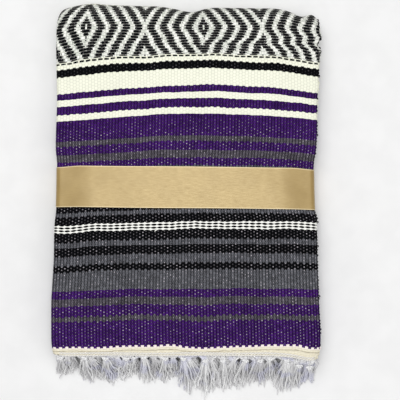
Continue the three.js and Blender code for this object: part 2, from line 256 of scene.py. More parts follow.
def make_mesh(name, points, faces, **attributes):
    """points in millimetres; each attribute is three numbers for each point."""
    mesh = bpy.data.meshes.new(name)
    faces = np.asarray(faces, np.int32)
    count, corners = faces.shape
    placed = points.reshape(-1, 3) + (0, SHIFT_Y, 0)
    mesh.vertices.add(len(placed))
    mesh.vertices.foreach_set("co", (placed * MM).astype(np.float32).ravel())
    mesh.loops.add(count * corners)
    mesh.loops.foreach_set("vertex_index", faces.ravel())
    mesh.polygons.add(count)
    mesh.polygons.foreach_set("loop_start", np.arange(0, count * corners, corners, dtype=np.int32))
    mesh.polygons.foreach_set("use_smooth", np.ones(count, bool))
    for key, values in attributes.items():
        held = mesh.attributes.new(key, "FLOAT_VECTOR", "POINT")
        held.data.foreach_set("vector", values.astype(np.float32).ravel())
    mesh.update(calc_edges=True)
    mesh.validate()
    return in_scene(name, mesh)


def grid_faces(rows, columns, closed=False):
    """Quads of a grid of points, closed round its columns if it is a tube."""
    i = np.arange(rows - 1)[:, None] * columns
    j = np.arange(columns if closed else columns - 1)[None, :]
    k = (j + 1) % columns
    return np.stack([i + j, i + k, i + columns + k, i + columns + j], -1).reshape(-1, 4)


def flat_caps(half, columns, rows):
    """The two ends of a flat closed strip, whose ring runs out along one side and back along the other."""
    i = np.arange(half - 1)
    first = np.stack([i, columns - 1 - i, columns - 2 - i, i + 1], -1)
    return [first, first[:, ::-1] + (rows - 1) * columns]


def tubes(paths, radii, sides, closed=False):
    """Round tubes along many paths (m, n, 3) at once: their points, faces, angles and lengths."""
    m, n = paths.shape[:2]
    if closed:
        tangent = np.roll(paths, -1, 1) - np.roll(paths, 1, 1)
    else:
        tangent = np.gradient(paths, axis=1)
    tangent = unit(tangent)
    side = np.cross(tangent[:, 0], np.array([0.9, 0.1, 0.42]))
    sideways = []
    for i in range(n):
        side = unit(side - tangent[:, i] * np.sum(side * tangent[:, i], -1, keepdims=True))
        sideways.append(side)
    side = np.stack(sideways, 1)
    up = np.cross(tangent, side)
    angle = np.arange(sides) * 2 * math.pi / sides
    radii = radii * np.ones((m, n))
    if not closed:
        radii[:, 0] *= 0.3
        radii[:, -1] *= 0.3
    ring = side[:, :, None] * np.cos(angle)[:, None] + up[:, :, None] * np.sin(angle)[:, None]
    points = paths[:, :, None] + ring * radii[:, :, None, None]
    faces = grid_faces(n, sides, True)
    if closed:
        seam = grid_faces(2, sides, True)
        faces = np.concatenate([faces, np.where(seam < sides, seam + (n - 1) * sides, seam - sides)])
    else:
        faces = np.concatenate([faces, end_caps(n, sides)])
    faces = (faces[None] + (np.arange(m) * n * sides)[:, None, None]).reshape(-1, 4)
    return points.reshape(-1, 3), faces, angle, way(paths)


def end_caps(n, sides):
    """The two small ends of a tube of six or four sides, as quads."""
    first = np.array([(0, 3, 2, 1)] if sides == 4 else [(0, 3, 2, 1), (0, 5, 4, 3)])
    return np.concatenate([first, first[:, ::-1] + (n - 1) * sides])


# ---- The stretch of cloth that shows ----

FACE_COLUMNS = 150
EDGE_RUN, EDGE_DROP = 12.0, 4.2  # how wide and how deep the front rounds down to its right edge
EDGE_ARC = 1.5  # how much longer that makes the weft
FRONT_ROWS, TOP_ROWS, BACK_ROWS, END_ROWS = 190, 14, 120, 15


def across_columns():
    """share of the width, shift from there, depth below the face, and distance along the weft."""
    rows = []
    for t in (6.0, 3.0):
        rows.append((0, ROLL + t, 2 * ROLL, -ROLL * math.pi - t))
    for turn in np.linspace(180, 8, 16):
        a = math.radians(turn)
        rows.append((0, ROLL * (1 - math.sin(a)), ROLL * (1 - math.cos(a)), -ROLL * a))
    face = FOLDED_WIDTH - ROLL - EDGE_RUN
    for share in np.linspace(0, 1, FACE_COLUMNS):
        rows.append((share, ROLL * (1 - share) - EDGE_RUN * share, 0, share * face))
    for t in (0.3, 0.5, 0.66, 0.8, 0.91, 1.0):
        rows.append((1, -EDGE_RUN * (1 - t), EDGE_DROP * t**2.6, face + EDGE_RUN * t + EDGE_ARC * t**3))
    for t in (0.35, 0.8, 1.0):
        weft = face + EDGE_RUN + EDGE_ARC + CLOTH * t
        rows.append((1, -0.5 - 0.9 * t**2, EDGE_DROP + CLOTH * t, weft))
    return np.array(rows)


def cloth_path(x):
    """Rows from hem to tuck at places x: y, z, inward y and z, distance along the warp, share of depth."""
    rows = []

    def add(y, z, in_y, in_z, v, droops=1.0):
        rows.append(joined(y, z, in_y, in_z, v, droops))

    start, top = hem(x), crest(x) - TOP_RADIUS
    for t in (1.0, 0.5):
        add(start + 0.6 * (1 - t), front_height(x, start) - CLOTH * t, 0, -1, start + HEM_V - CLOTH * t)
    for t in np.linspace(0, 1, FRONT_ROWS):
        y = start + (top - start) * t
        add(y, front_height(x, y), 0, -1, y + HEM_V)
    v = top + HEM_V
    flat = front_height(x, top)
    for turn in np.linspace(0, 90, TOP_ROWS)[1:]:
        a = math.radians(turn)
        ease = 1 - turn / 90
        z = STACK - TOP_RADIUS * (1 - math.cos(a)) + (flat - STACK) * ease
        add(top + TOP_RADIUS * math.sin(a), z, -math.sin(a), -math.cos(a), v + TOP_RADIUS * a)
    v = v + TOP_RADIUS * math.pi / 2
    upright = STACK - TOP_RADIUS - BACK_RADIUS
    bulge = 0.8 + 0.5 * np.sin(x / 13)
    for t in (0.25, 0.5, 0.75):
        z = STACK - TOP_RADIUS - upright * t
        add(crest(x) + bulge * math.sin(t * math.pi), z, -1, 0, v + upright * t)
    v = v + upright
    for turn in np.linspace(0, 90, TOP_ROWS):
        a = math.radians(turn)
        y = crest(x) - BACK_RADIUS * (1 - math.cos(a))
        add(y, BACK_RADIUS * (1 - math.sin(a)), -math.cos(a), math.sin(a), v + BACK_RADIUS * a)
    v = v + BACK_RADIUS * math.pi / 2
    first = crest(x) - BACK_RADIUS
    for t in np.linspace(0, 1, BACK_ROWS)[1:]:
        y = first + (END_FOLD_Y - first) * t
        add(y, back_height(x, y), 0, 1, v + first - y)
    v = v + first - END_FOLD_Y
    low = back_height(x, END_FOLD_Y)
    for turn in np.linspace(0, 180, END_ROWS)[1:]:
        a = math.radians(turn)
        share = 1 - 0.5 * smoothstep(0, 60, turn)
        z = END_RADIUS * (1 - math.cos(a)) + low * (1 - turn / 180)
        add(END_FOLD_Y - END_RADIUS * math.sin(a), z, math.sin(a), math.cos(a), v + END_RADIUS * a, share)
    v = v + END_RADIUS * math.pi
    for t in (0.4, 1.0):
        add(END_FOLD_Y + TUCK * t, 2 * END_RADIUS, 0, -1, v + TUCK * t, 0.5)
    return np.stack(rows)


def outer_cloth():
    """The front, the top fold, the back and the lower fold, with the roll of folds on the left."""
    share, shift, depth, weft = across_columns().T
    nominal = left_edge(0) + (right_edge(0) - left_edge(0)) * share + shift
    y, z, in_y, in_z, v, droops = np.moveaxis(cloth_path(nominal), -1, 0)
    x = left_edge(y) + (right_edge(y) - left_edge(y)) * share + shift
    depth = depth * droops
    grid = joined(x, y + depth * in_y, z + depth * in_z)
    weave = joined(weft / END_PITCH + FIRST_END, v + bow(x, v), 0.0)
    return make_mesh("serape_cloth", grid, grid_faces(*v.shape), weave=weave)


# ---- The hidden layers: the rest of the web, which shows at its edges only ----

HALF_CLOTH = CLOTH / 2
FOLD_HEART_DY = -26.0  # the innermost turn of the top fold, from its crest
FOLD_HEART_Z = STACK / 2


def top_fold_curve():
    """The outside of the top fold, front to back, as (y from the crest, z), at even steps."""
    a = np.linspace(0, math.pi / 2, 20)
    front_arc = joined(TOP_RADIUS * (np.sin(a) - 1), STACK + TOP_RADIUS * (np.cos(a) - 1))
    back_arc = joined(BACK_RADIUS * (np.cos(a) - 1), BACK_RADIUS * (1 - np.sin(a)))
    curve = np.concatenate([[(FOLD_HEART_DY, STACK)], front_arc, back_arc, [(FOLD_HEART_DY, 0)]])
    length = way(curve)
    even = np.linspace(0, length[-1], 41)
    return joined(np.interp(even, length, curve[:, 0]), np.interp(even, length, curve[:, 1]))


def level(x, y, down):
    """The height of a place so far down the stack, squeezed as the stack is."""
    top, low = front_height(x, y), back_height(x, y)
    return top - (top - low) * down / STACK


def fold_rows(x, depth, from_tuck):
    """(y, z) rows of the whole folded web, end A to end B; depth is how deep in its own bundle."""
    rows = []
    heart = crest(x) + FOLD_HEART_DY
    curve = top_fold_curve()
    inward = depth / (2 * BUNDLE)
    hem_a = hem(x) + 1.4 + 0.8 * np.sin(depth * 2.1)
    hem_b = hem(x) + 2.6 + 0.9 * np.sin(depth * 1.7 + 1)

    def lay(start, stop, down, count):
        for t in np.linspace(0, 1, count):
            y = start + (stop - start) * t
            rows.append((y, level(x, y, down)))

    def turn_over(points, share):
        for dy, z in points:
            y = crest(x) + dy * (1 - share) + FOLD_HEART_DY * share
            rows.append((y, z * (1 - share) + FOLD_HEART_Z * share))

    if not from_tuck:
        lay(hem_a, heart, depth, 150)
        turn_over(curve[1:-1], inward)
        lay(heart, END_FOLD_Y, STACK - depth, 140)
        axis = level(x, END_FOLD_Y, STACK - BUNDLE)
        radius = axis - level(x, END_FOLD_Y, STACK - depth)
        for turn in np.linspace(0, math.pi, 16)[1:-1]:
            rows.append((END_FOLD_Y - (BUNDLE - depth) * np.sin(turn), axis - radius * np.cos(turn)))
    lay(END_FOLD_Y + (TUCK + 0.5) * from_tuck, heart, 2 * BUNDLE + depth, 130)
    turn_over(curve[-3:1:-3], 1 - inward)
    lay(heart, hem_b, 2 * BUNDLE - depth, 140)
    return np.array([joined(y, z) for y, z in rows])


def centreline(spans):
    """Points (share, shift, depth, thickness) of a layer's middle."""
    points = []
    for kind, *rest in spans:
        if kind == "end":  # a woven edge, rounded: share, shift, depth, way out
            share, shift, depth, out = rest
            for t in (1.0, 0.85, 0.5, 0.0):
                thick = max(math.sqrt(1 - t * t), 0.12)
                points.append((share, shift - out * HALF_CLOTH * (1 - t), depth, thick))
        if kind == "flat":  # from share and shift, to share and shift, depth
            first, last, depth = rest
            for t in (0.25, 0.5, 0.75):
                points.append((*(np.array(first) * (1 - t) + np.array(last) * t), depth, 1.0))
        if kind == "turn":  # share, shift and depth of its centre, radius, from, to in degrees
            share, shift, depth, radius, start, stop = rest
            for a in np.radians(np.linspace(start, stop, 11 if radius > 2 else 8)):
                points.append((share, shift + radius * math.cos(a), depth - radius * math.sin(a), 1.0))
    return np.array(points)


LAYER_MIDDLES = [LAYER * (j + 0.5) for j in range(4)]
INNER_WEB = [
    ("end", 0, ROLL + 5, LAYER_MIDDLES[3], -1),
    ("flat", (0, ROLL + 6), (1, -5.5), LAYER_MIDDLES[3]),
    ("turn", 1, -4.2, LAYER * 3, LAYER / 2, -90, 90),
    ("flat", (1, -5.5), (0, ROLL + 6), LAYER_MIDDLES[2]),
    ("turn", 0, ROLL + 0.4, LAYER * 2, LAYER / 2, 270, 90),
    ("flat", (0, ROLL + 6), (1, -6), LAYER_MIDDLES[1]),
    ("end", 1, -4.2, LAYER_MIDDLES[1], 1),
]
SECOND_FACE = [
    ("end", 1, -2.4, LAYER_MIDDLES[0], 1),
    ("flat", (1, -6), (0, ROLL + 6), LAYER_MIDDLES[0]),
    ("turn", 0, ROLL, ROLL, ROLL - HALF_CLOTH, 90, 270),
    ("end", 0, ROLL + 3.2, LAYER_MIDDLES[3], 1),
]


def swept_layer(spans, from_tuck, v_start, weft_start):
    """A closed strip: the layers' section carried along the whole fold."""
    points = centreline(spans)
    share, shift, depth, thick = points.T
    run = unit(np.gradient(joined(share * FOLDED_WIDTH + shift, -depth), axis=0))
    across, down = HALF_CLOTH * thick * (-run[:, 1], run[:, 0])
    side_a = joined(share, shift + across, depth - down)
    side_b = joined(share, shift - across, depth + down)
    ring = np.concatenate([side_a, side_b[::-1]])
    share, shift, depth = ring.T
    depth = np.clip(depth, 0.1, BUNDLE - 0.1)
    nominal = left_edge(0) + (right_edge(0) - left_edge(0)) * share + shift
    path = fold_rows(nominal, depth, from_tuck)
    y, z = np.moveaxis(path, -1, 0)
    run = way(path.swapaxes(0, 1)).T
    begin = v_start(y[0])
    v = begin + run * (WEB - begin) / run[-1]
    loose = np.sin(v / 29 + depth * 1.9) + 0.6 * np.sin(v / 12.7 + depth * 3.1 + 1)
    beads = 0.22 * np.abs(np.sin(math.pi * v / (2 * PICK)))
    to_right = smoothstep(0.9, 1, share)
    to_left = smoothstep(0.1, 0, share) * smoothstep(ROLL, 0, shift)
    x = left_edge(y) + (right_edge(y) - left_edge(y)) * share + shift
    x = x + to_right * (0.65 * loose - 0.5 + beads) + to_left * (0.35 * np.abs(loose) - beads)
    around = way(points * (FOLDED_WIDTH, 1, 1, 0))
    ends = (np.concatenate([around, around[::-1]]) + weft_start) / END_PITCH
    weave = joined(ends, v + bow(x, v), 0.0)
    rows, columns = v.shape
    faces = [grid_faces(rows, columns, True)] + flat_caps(len(points), columns, rows)
    return joined(x, y, z).reshape(-1, 3), np.concatenate(faces), weave.reshape(-1, 3)


def folded_layers():
    inner = swept_layer(INNER_WEB, False, lambda y: y + HEM_V, 30)
    tucked_v = float(cloth_path(np.array([0.0]))[-1, 0, 4])
    second = swept_layer(SECOND_FACE, True, lambda y: tucked_v, 7)
    points = np.concatenate([inner[0], second[0]])
    faces = np.concatenate([inner[1], second[1] + len(inner[0])])
    return make_mesh("folded_layers_web", points, faces, weave=np.concatenate([inner[2], second[2]]))


# ---- Cords, loops and fringe ----


def yarn(name, batches):
    """Tubes gathered in one piece. Each batch: (paths, radii, a number for each), sides, closed, kind."""
    points, faces, twist, marks, count = [], [], [], [], 0
    for (paths, radii, numbers), sides, closed, kind in batches:
        at, quads, angle, length = tubes(paths, radii, sides, closed)
        points.append(at)
        faces.append(quads + count)
        twist.append(joined(np.cos(angle), np.sin(angle), length[:, :, None]).reshape(-1, 3))
        marks.append(joined(np.repeat(numbers, len(at) // len(numbers)), kind, 0.0))
        count += len(at)
    return make_mesh(
        name, np.concatenate(points), np.concatenate(faces),
        twist=np.concatenate(twist), marks=np.concatenate(marks),
    )


PLAIN_YARN, KNOT_YARN, CORD_YARN = 0, 1, 2
# x of the knot, x of the tip, how far past the woven end the tip and the knot lie
TASSELS = np.array([
    (-152, -157, 28, 4.5), (-123, -122, 34, 3.5), (-98, -95, 36, 4.5), (-73, -76, 30, 4.5),
    (-51, -49, 37, 3), (-26, -28, 32, 4.5), (-4, 1, 46, 4.5), (23, 21, 51, 7), (44, 47, 46, 7),
    (71, 68, 40, 7), (89, 91, 37, 7), (121, 118, 44, 5), (136, 136, 36, 9), (148, 151, 25, 9),
])
TASSEL_PITCH = 21.5


def tassel_row(random, layer, count, radius, reach_share, root_z, tip_z, spread, points=14):
    """The strands of one row: from the woven end to a knot, then down to the surface."""
    base = TASSELS.copy()
    if layer:
        between = TASSEL_PITCH / 2 * (layer % 2)  # every other row hangs between the tassels of the next
        base[:, 0] += random.uniform(-5, 5, len(base)) + between
        base[:, 1] += random.uniform(-6, 6, len(base)) + between
        base[:, 2] *= random.uniform(0.82, 1.0, len(base))
        base[:, 3] += random.uniform(-1, 3, len(base))
    knot_x, tip_x, reach, past_hem = np.repeat(base, count, 0).T[..., None]
    each = knot_x.shape
    fan = np.tile(np.linspace(-1, 1, count), len(base))[:, None] + random.uniform(-0.12, 0.12, each)
    root_x = np.clip(knot_x + fan * TASSEL_PITCH * 0.52, -160, 154)
    end_x = np.clip(tip_x + fan * spread + random.normal(0, 1.6, each), -161, 157)
    uneven = 1 - 0.16 * np.abs(fan) ** 1.5 + random.uniform(-0.16, 0.05, each)
    length = (reach * 1.06 + 5) * reach_share * uneven
    knot_t = np.clip(past_hem / length, 0.05, 0.5)
    t = np.linspace(0, 1, points) ** 0.9
    before = np.clip(t / knot_t, 0, 1)
    after = np.clip((t - knot_t) / (1 - knot_t), 0, 1)
    pulled = knot_x + fan * 1.5
    x = root_x + (pulled - root_x) * smoothstep(0, 1, before) + (end_x - pulled) * after**0.8
    y = hem(knot_x) + 0.6 - length * t
    drop = (1 - np.cos(math.pi * t)) / 2
    lift = random.uniform(0, 1, each)
    z = root_z + (tip_z + lift * 2.2 - root_z) * drop + (1 - before) * 0.2
    curl = random.uniform(0.9, 2.9, each) * after * (1 - 0.3 * after)
    waves = random.uniform(1.1, 2.4, each) * math.pi * 2 * t + random.uniform(0, 6.3, each)
    x = x + curl * np.sin(waves)
    z = np.maximum(z + curl * 0.9 * np.cos(waves * 1.13), radius + 0.15)
    y = y + curl * 0.8 * np.cos(waves * 0.83 + 1)
    thick = radius * (1 - 0.25 * after) * (1 + 0.12 * np.sin(waves * 2.3))
    return joined(x, y, z), thick, random.uniform(0, 100, len(knot_x))


def knots(random, root_z):
    """An overhand knot in each tassel: three lobes of one strand, pressed flat."""
    knot_x, _, _, past_hem = TASSELS.T
    count = len(TASSELS)
    a = np.linspace(0, 2 * math.pi, 40, endpoint=False)
    each = (count, 1)
    x = (np.sin(a) + 2 * np.sin(2 * a)) / 3 * random.uniform(3.4, 4.3, each)
    y = (np.cos(a) - 2 * np.cos(2 * a)) / 3 * random.uniform(1.4, 1.8, each)
    z = -np.sin(3 * a) / 3 * random.uniform(1.0, 1.3, each)
    turn = random.uniform(-0.35, 0.35, each)
    turned = joined(x * np.cos(turn) - y * np.sin(turn), x * np.sin(turn) + y * np.cos(turn), z)
    path = turned + joined(knot_x, hem(knot_x) - past_hem, root_z)[:, None]
    return path, np.ones(path.shape[:2]), random.uniform(0, 100, count)


def fringe(name, seed, root_top, tip_top, reach_share, top_row):
    """Four rows of strands, one under another. Only a top row shows its knots and its frizz."""
    random = np.random.default_rng(seed)
    batches = []
    for layer in range(4):
        root_z, tip_z = root_top - 1.5 - LAYER * layer, tip_top - 0.5 * layer
        front = top_row and layer == 0
        count, radius = (13, 1.12) if front else (12, 1.0)
        share = reach_share * (1 - 0.03 * layer)
        strands = tassel_row(random, layer or not top_row, count, radius, share, root_z, tip_z, 10.5)
        batches.append((strands, 6, False, PLAIN_YARN))
        if front:
            frizz = tassel_row(random, 0, 9, 0.3, share * 0.95, root_z + 1.2, tip_z + 1.5, 12, 16)
            batches.append((frizz, 4, False, PLAIN_YARN))
            batches.append((knots(random, root_z + 0.6), 6, True, KNOT_YARN))
    return yarn(name, batches)


def heading_cords():
    """Two twined cords that bind the woven end."""
    batches = []
    for v, radius, lift, phase in ((0.1, 0.85, -0.2, 0.0), (2.7, 1.0, 0.35, 1.0)):
        x = np.arange(-153.5, 154.5, 0.9)
        y = hem(x) + v + 0.35 * np.sin(x / 17 + phase)
        z = front_height(x, np.maximum(y, hem(x))) + lift - 0.6 * smoothstep(140, 154, np.abs(x))
        for strand in (0, math.pi):
            around = 2 * math.pi * x / (2 * END_PITCH) + strand + phase
            path = joined(x, y + 0.55 * radius * np.cos(around), z + 0.55 * radius * np.sin(around))
            thick = np.full((1, len(x)), radius * 0.8)
            batches.append(((path[None], thick, [phase + strand]), 6, False, CORD_YARN))
    return yarn("heading_cords", batches)


SNAG = (-37.3, -34.4)  # x, y
LOOP_WEFT = 305.0  # how far along the weft the loops are counted


def selvedge_loops():
    """The weft where it turns back at the right edge."""
    random = np.random.default_rng(31)
    y = np.arange(hem(150) + 3, crest(150) - 9, 2 * PICK * 0.98)
    y = y[under_band(150, y, 1) < 0.5][:, None]
    out = random.uniform(0.5, 1.5, y.shape) + 1.2 * (random.random(y.shape) > 0.9)
    a = np.linspace(-0.4, math.pi + 0.4, 9)
    edge = right_edge(y) - 0.7
    turned_y = y - np.cos(a) * 1.35 + random.normal(0, 0.3, y.shape)
    z = front_height(edge, y) - 4.1 - 0.9 * (1 + np.cos(a)) * 0.5
    paths = joined(edge + out * np.sin(a) - 0.4, turned_y, z)
    v = y + HEM_V
    distance = (v + bow(edge, v)).ravel()
    ends = np.full(len(y), FIRST_END + LOOP_WEFT / END_PITCH)

    # One loop of the white pick is snagged out of the beaded line.
    wide, tall = 1.1, 3.0
    at_x, at_y = SNAG
    stands = front_height(at_x, at_y) + 0.3 + 0.5 * np.sin(a)
    snag = joined(at_x + wide * np.sin(a * 1.3), at_y - tall * (1 - np.cos(a)) / 2, stands)
    paths = np.concatenate([paths, snag[None]])
    distance = np.append(distance, MIRROR_V - BEADS_MIDDLE)
    ends = np.append(ends, 2.0)

    points, faces, _, _ = tubes(paths, 0.62, 6)
    weave = np.repeat(joined(ends, distance, 0.0), len(points) // len(ends), 0)
    return make_mesh("selvedge_loops", points, faces, weave=weave)


# ---- The paper band ----

PAPER_THICK = 0.34
SIDE_RADIUS = 5.6
SIDE_ROOM = 0.5  # from the cloth's edge to the middle of the paper
LAP = 9.0  # half the glued overlap at the back
LAP_STEP, LAP_FOOT = 12.0, 21.0  # where the inner end starts to come down, and where it is down


def band_path():
    """The band's middle round the fold, from its inner end at the back to its outer end."""
    left, right = left_edge(BAND_Y) - SIDE_ROOM, right_edge(BAND_Y) + SIDE_ROOM
    low, lapped, high = 0.24, 0.62, STACK - PINCH + 0.1
    r = SIDE_RADIUS

    def corner(x, z, start):
        a = np.radians(np.linspace(start, start - 90, 12))
        return joined(x + r * np.cos(a), z + r * np.sin(a))

    x = np.linspace(LAP, -LAP_FOOT, 14)
    risen = np.minimum((x + LAP_FOOT) / (LAP_FOOT - LAP_STEP), 1)
    path = [joined(x, low + (lapped - low) * risen)]
    path += [np.linspace((-LAP_FOOT - 3, low), (left + r, low), 24)]
    corners = [
        corner(left + r, low + r, -90), corner(left + r, high - r, 180),
        corner(right - r, high - r, 90), corner(right - r, low + r, 0),
    ]
    stops = [after[0] for after in corners[1:]] + [(-LAP, low)]
    for turned, stop, count in zip(corners, stops, (12, 110, 12, 40)):
        path += [turned[1:], np.linspace(turned[-1], stop, count)[1:]]
    return np.concatenate(path)


def paper_band():
    path = band_path()
    run_x, run_z = unit(np.gradient(path, axis=0)).T[..., None]
    x, z = path.T[..., None]
    half = BAND_WIDTH / 2
    rim = [half, half - 0.2, half - 1.2]
    across = [-w for w in rim] + list(np.linspace(-half + 4, half - 4, 9)) + rim[::-1]
    w = np.array(across + across[::-1])
    off = np.repeat([PAPER_THICK / 2, -PAPER_THICK / 2], len(across))
    front = smoothstep(10, STACK - 6, z)
    ripple = 0.22 * np.sin(x / 41 + w / 19) + 0.12 * np.sin(x / 13 + 1.7 * np.sin(w / 11))
    edge_lift = 0.1 * smoothstep(half - 5, half, np.abs(w)) * (0.5 + 0.5 * np.sin(x / 27 + (w > 0) * 2))
    crown = -BAND_CROWN * smoothstep(*SHOULDER, np.abs(x))
    at = band_y(x) + w
    slant = np.where(x < 0, left_edge(at) - left_edge(BAND_Y), right_edge(at) - right_edge(BAND_Y))
    px = x - run_z * off + slant * smoothstep(120, 148, np.abs(x))
    pz = z + run_x * off + (ripple + edge_lift + crown) * front
    dip = front * smoothstep(126, 158, np.abs(x)) * (0.6 + 1.7 * (w / BAND_WIDTH + 0.5))
    py = band_y(px) + w - dip + 0.18 * np.sin(x / 33 + (w > 0) * 1.3)
    n, columns = px.shape
    faces = [grid_faces(n, columns, True)] + flat_caps(len(across), columns, n)
    place = joined(way(path)[:, None], w, off)
    return make_mesh("paper_band", joined(px, py, pz), np.concatenate(faces), paper=place)


# ---- Materials ----


def linear(*screen):
    """A colour given as it looks on a screen, 0 to 255."""
    shares = [c / 255 for c in screen]
    return (*[c / 12.92 if c <= 0.04045 else ((c + 0.055) / 1.055) ** 2.4 for c in shares], 1.0)


class Tree:
    """Shader nodes written as sums."""

    def __init__(self, name):
        self.material = bpy.data.materials.new(name)
        self.material.use_nodes = True
        self.nodes = self.material.node_tree.nodes
        self.links = self.material.node_tree.links
        self.shader = self.nodes["Principled BSDF"]

    def new(self, kind, *inputs, **settings):
        """A node with its first inputs filled in order."""
        node = self.nodes.new(kind)
        for key, value in settings.items():
            setattr(node, key, value)
        for socket, value in zip(node.inputs, inputs):
            self.put(socket, value)
        return node

    def put(self, socket, value):
        if isinstance(value, bpy.types.NodeSocket):
            self.links.new(value, socket)
        else:
            socket.default_value = value

    def math(self, operation, *values):
        return self.new("ShaderNodeMath", *values, operation=operation).outputs[0]

    add = partialmethod(math, "ADD")
    sub = partialmethod(math, "SUBTRACT")
    mul = partialmethod(math, "MULTIPLY")
    over = partialmethod(math, "DIVIDE")
    power = partialmethod(math, "POWER")
    both = partialmethod(math, "MINIMUM")
    either = partialmethod(math, "MAXIMUM")
    less = partialmethod(math, "LESS_THAN")
    more = partialmethod(math, "GREATER_THAN")
    size = partialmethod(math, "ABSOLUTE")
    floor = partialmethod(math, "FLOOR")
    round = partialmethod(math, "ROUND")
    fract = partialmethod(math, "FRACT")
    sine = partialmethod(math, "SINE")

    def between(self, a, low, high):
        return self.mul(self.more(a, low), self.less(a, high))

    def from_middle(self, a):
        return self.size(self.sub(a, 0.5))

    def ramped(self, value, low, high, to_low=0.0, to_high=1.0):
        ends = (value, low, high, to_low, to_high)
        return self.new("ShaderNodeMapRange", *ends, interpolation_type="SMOOTHSTEP", clamp=True).outputs[0]

    def mix(self, share, a, b, blend="MIX"):
        node = self.new("ShaderNodeMix", data_type="RGBA", blend_type=blend, clamp_factor=True)
        self.put(node.inputs["Factor"], share)
        self.put(node.inputs[6], a)
        self.put(node.inputs[7], b)
        return node.outputs[2]

    def dimmed(self, colour, factor):
        return self.mix(1.0, colour, self.vector(factor, factor, factor), "MULTIPLY")

    def vector(self, x, y=0.0, z=0.0):
        return self.new("ShaderNodeCombineXYZ", x, y, z).outputs[0]

    def parts(self, vector):
        return self.new("ShaderNodeSeparateXYZ", vector).outputs

    def noise(self, vector, scale=1.0, detail=2.0, rough=0.5):
        node = self.new("ShaderNodeTexNoise", vector)
        node.inputs["Scale"].default_value = scale
        node.inputs["Detail"].default_value = detail
        node.inputs["Roughness"].default_value = rough
        return node.outputs[0]

    def wander(self, amount, *noise):
        """Noise about zero."""
        return self.mul(self.sub(self.noise(*noise), 0.5), amount)

    def random(self, x, y, z):
        place = self.vector(x, y, z)
        return self.new("ShaderNodeTexWhiteNoise", place, noise_dimensions="3D").outputs["Value"]

    def steps(self, value, stops):
        """A colour for each stretch of value, 0 to 1: stops are (start, colour)."""
        node = self.new("ShaderNodeValToRGB", value)
        ramp = node.color_ramp
        ramp.interpolation = "CONSTANT"
        while len(ramp.elements) > 1:
            ramp.elements.remove(ramp.elements[-1])
        ramp.elements[0].position, ramp.elements[0].color = 0.0, stops[0][1]
        for start, colour in stops[1:]:
            ramp.elements.new(start).color = colour
        return node.outputs[0]

    def object_place(self, scale):
        place = self.new("ShaderNodeTexCoord").outputs["Object"]
        node = self.new("ShaderNodeVectorMath", place, operation="SCALE")
        node.inputs["Scale"].default_value = scale
        return node.outputs[0]

    def attribute(self, name):
        return self.new("ShaderNodeAttribute", attribute_name=name).outputs["Vector"]

    def bump(self, height, distance, strength):
        node = self.new("ShaderNodeBump")
        node.inputs["Strength"].default_value = strength
        node.inputs["Distance"].default_value = distance
        self.put(node.inputs["Height"], height)
        return node.outputs[0]

    def finish(self, colour, roughness, specular, normal=None):
        self.put(self.shader.inputs["Base Color"], colour)
        self.put(self.shader.inputs["Roughness"], roughness)
        self.shader.inputs["Specular IOR Level"].default_value = specular
        if normal is not None:
            self.put(self.shader.inputs["Normal"], normal)
        return self.material


CREAM = linear(235, 236, 218)
WHITE = linear(246, 246, 240)
WHITE_SHADE = linear(206, 210, 200)
INK = linear(7, 8, 11)
PURPLE = linear(54, 21, 87)
DARK = linear(74, 70, 78)
GREY = linear(80, 81, 86)
WARP = linear(226, 218, 226)
# The next colour is painted shadow, a grey line between the rows of weft in the diamonds: it darkens the
# white and shows lighter on the black.
PAINTED_ROW_SHADOW = linear(136, 136, 130)
HEADING, HEADING_SHADE, HEADING_PICK = linear(240, 235, 217), linear(224, 216, 192), linear(188, 176, 146)
# The second colour on the next line is painted shade, for the groove along the heading's middle.
HEADING_RIM, HEADING_GROOVE_SHADE = linear(240, 228, 226), linear(136, 124, 104)

# distance from the middle of the diamond band, where each colour starts
STRIPES = [
    (0, CREAM), (40.6, INK), (48.8, CREAM), (69.8, PURPLE), (77.8, CREAM), (85, PURPLE), (96, CREAM),
    (103.2, PURPLE), (130.4, DARK), (137, PURPLE), (148.2, DARK), (157.2, PURPLE), (166.8, GREY),
    (188.4, INK), (195.6, GREY), (205.2, INK), (219.8, GREY), (225.0, INK), (255.2, GREY), (262, INK),
    (273.1, GREY), (284.2, INK), (291.8, GREY), (314.4, PURPLE), (323.7, DARK), (333.1, PURPLE),
    (345.6, DARK), (352.1, PURPLE),
]
SPAN = 400.0  # the length that the colour ramp covers
TURN_BACK = 374.0  # past here the order runs backwards
HEADING_V = 8.7  # where the heading ends
GROOVE_SHADE_V = 3.7  # painted shade of a groove: the dark line along its middle
DIAMOND_HALF = 32.6
DIAMOND_ROW = 3.1  # a row of weft in the diamonds
DIAMOND_U, DIAMOND_ENDS = 48.3, 38.0  # the middle of one diamond, and their pitch, in warp ends
RING_ACROSS, RING_ALONG = 15.2, 24.3  # from one ring to the next, across and along
RING_MIDDLE, RING_HALF, FIRST_RING = 0.23, 0.335, 0.11
DASHES = (33.4, 35.4)
BEADS_MIDDLE, BEAD_ROW = 239.9, 3.42  # the middle one of the three white rows, and their pitch


